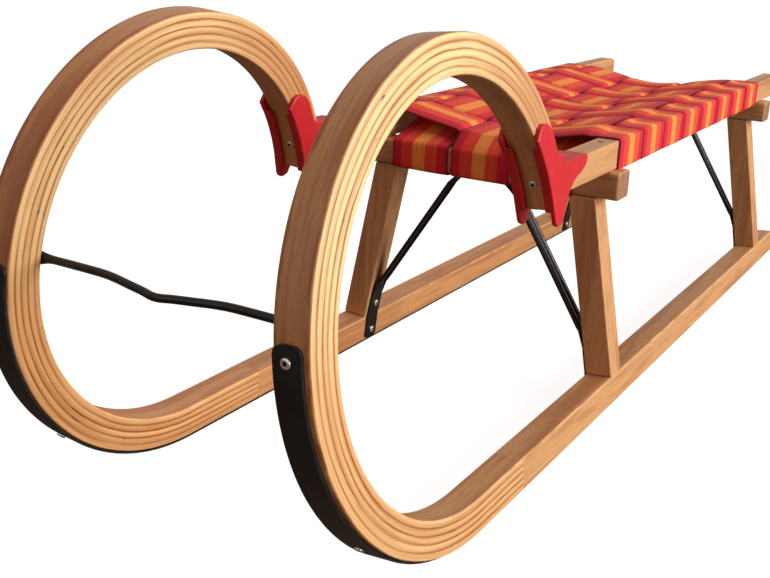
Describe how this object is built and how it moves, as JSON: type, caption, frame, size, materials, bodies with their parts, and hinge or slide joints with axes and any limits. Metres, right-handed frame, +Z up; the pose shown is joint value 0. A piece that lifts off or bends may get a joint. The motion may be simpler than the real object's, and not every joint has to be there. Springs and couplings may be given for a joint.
{
  "type": "horned sledge",
  "caption": "Long wooden sledge with canted bentwood runners curling up into horns, splayed legs, a woven webbing seat and a front tie bar.",
  "frame": {"origin": "on the ground, under the middle of the sledge's length and width", "axes": "+Z up, +Y towards the rear, horns at -Y; +X is the rider's left"},
  "size_m": [0.3564, 1.306, 0.4231],
  "materials": {
    "beech": "clear satin varnish over beech; the horns show glued plies on their sides",
    "shoe_steel": "black coated flat steel",
    "rod_steel": "glossy black powder coat",
    "red_plastic": "moulded red plastic, semi-gloss",
    "seat_webbing": "woven tape in crimson, red and orange stripes",
    "zinc_screw": "zinc-plated screw heads"
  },
  "bodies": {
    "root": {"cross_band_1": "seat_webbing", "cross_band_2": "seat_webbing", "cross_band_3": "seat_webbing", "cross_band_4": "seat_webbing", "cross_band_5": "seat_webbing", "cross_band_6": "seat_webbing", "cross_band_7": "seat_webbing", "cross_band_8": "seat_webbing", "front_crossbeam": "beech", "front_leg_left": "beech", "front_leg_right": "beech", "front_strut_head_screw_left": "zinc_screw", "front_strut_head_screw_right": "zinc_screw", "front_strut_left": "rod_steel", "front_strut_lower_screw_left": "zinc_screw", "front_strut_lower_screw_right": "zinc_screw", "front_strut_right": "rod_steel", "front_strut_upper_screw_left": "zinc_screw", "front_strut_upper_screw_right": "zinc_screw", "horn_connector_left": "red_plastic", "horn_connector_right": "red_plastic", "horn_tie_bar": "rod_steel", "horn_tip_screw_left": "zinc_screw", "horn_tip_screw_right": "zinc_screw", "long_band_left": "seat_webbing", "long_band_middle": "seat_webbing", "long_band_right": "seat_webbing", "rail_screw_left": "zinc_screw", "rail_screw_right": "zinc_screw", "rear_crossbeam": "beech", "rear_leg_left": "beech", "rear_leg_right": "beech", "rear_strut_head_screw_left": "zinc_screw", "rear_strut_head_screw_right": "zinc_screw", "rear_strut_left": "rod_steel", "rear_strut_lower_screw_left": "zinc_screw", "rear_strut_lower_screw_right": "zinc_screw", "rear_strut_right": "rod_steel", "rear_strut_upper_screw_left": "zinc_screw", "rear_strut_upper_screw_right": "zinc_screw", "runner_left": "beech", "runner_right": "beech", "runner_shoe_left": "shoe_steel", "runner_shoe_right": "shoe_steel", "seat_rail_left": "beech", "seat_rail_right": "beech", "shoe_bend_screw_left": "zinc_screw", "shoe_bend_screw_right": "zinc_screw", "shoe_nose_screw_left": "zinc_screw", "shoe_nose_screw_right": "zinc_screw", "tie_bar_screw_left": "zinc_screw", "tie_bar_screw_right": "zinc_screw"}
  },
  "joints": []
}
